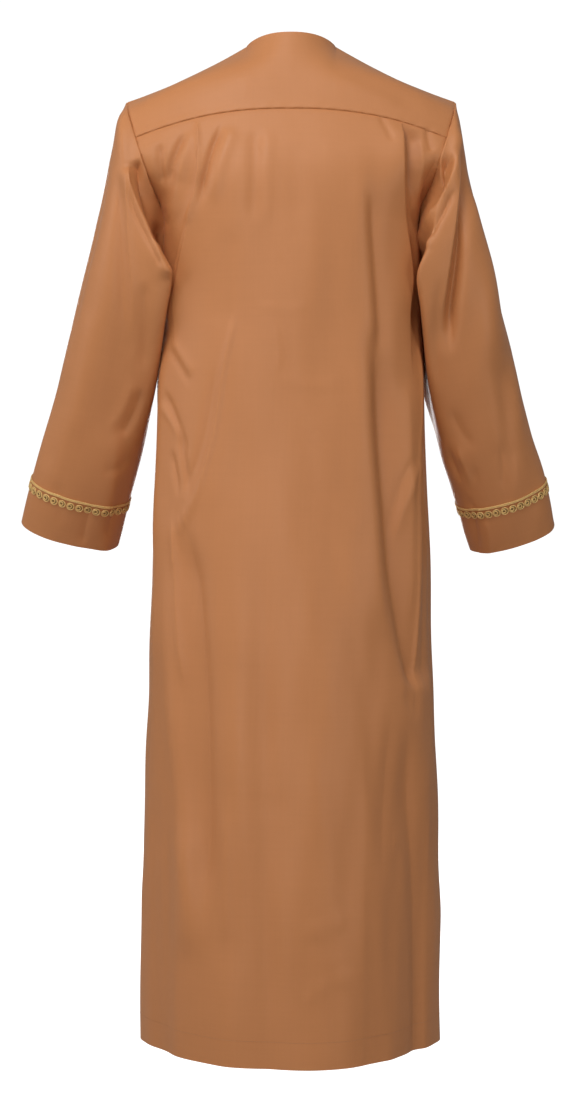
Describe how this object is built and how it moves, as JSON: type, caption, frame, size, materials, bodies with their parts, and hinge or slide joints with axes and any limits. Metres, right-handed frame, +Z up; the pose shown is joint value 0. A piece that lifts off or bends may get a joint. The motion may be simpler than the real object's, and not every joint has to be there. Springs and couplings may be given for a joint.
{
  "type": "thobe",
  "caption": "Long straight robe in its worn form: round collarless neck, one-piece back yoke, knife-pleated back, long wide set-in sleeves and ring-chain trim above each deep cuff hem.",
  "frame": {"origin": "middle of the neck opening, level with the two side points of the neckline, where the wearer's neck and shoulders hold the garment up", "axes": "+Z up from the hem to the neck, +X towards the wearer's left, +Y towards the wearer's back"},
  "size_m": [0.775, 0.339, 1.407],
  "materials": {
    "cloth": "plain caramel polyester cloth with a fine even weave and a soft sheen",
    "braid": "gold thread braid, a corded edge over a row of double rings",
    "buttons": "small smooth dished buttons dyed to match the cloth"
  },
  "bodies": {
    "root": {"back_yoke": "cloth", "back_panel": "cloth", "front_panel": "cloth", "placket_top": "cloth", "placket_under": "cloth", "button_1": "buttons", "button_2": "buttons", "button_3": "buttons", "button_4": "buttons", "sleeve_left": "cloth", "sleeve_right": "cloth", "braid_left": "braid", "braid_right": "braid"}
  },
  "joints": []
}
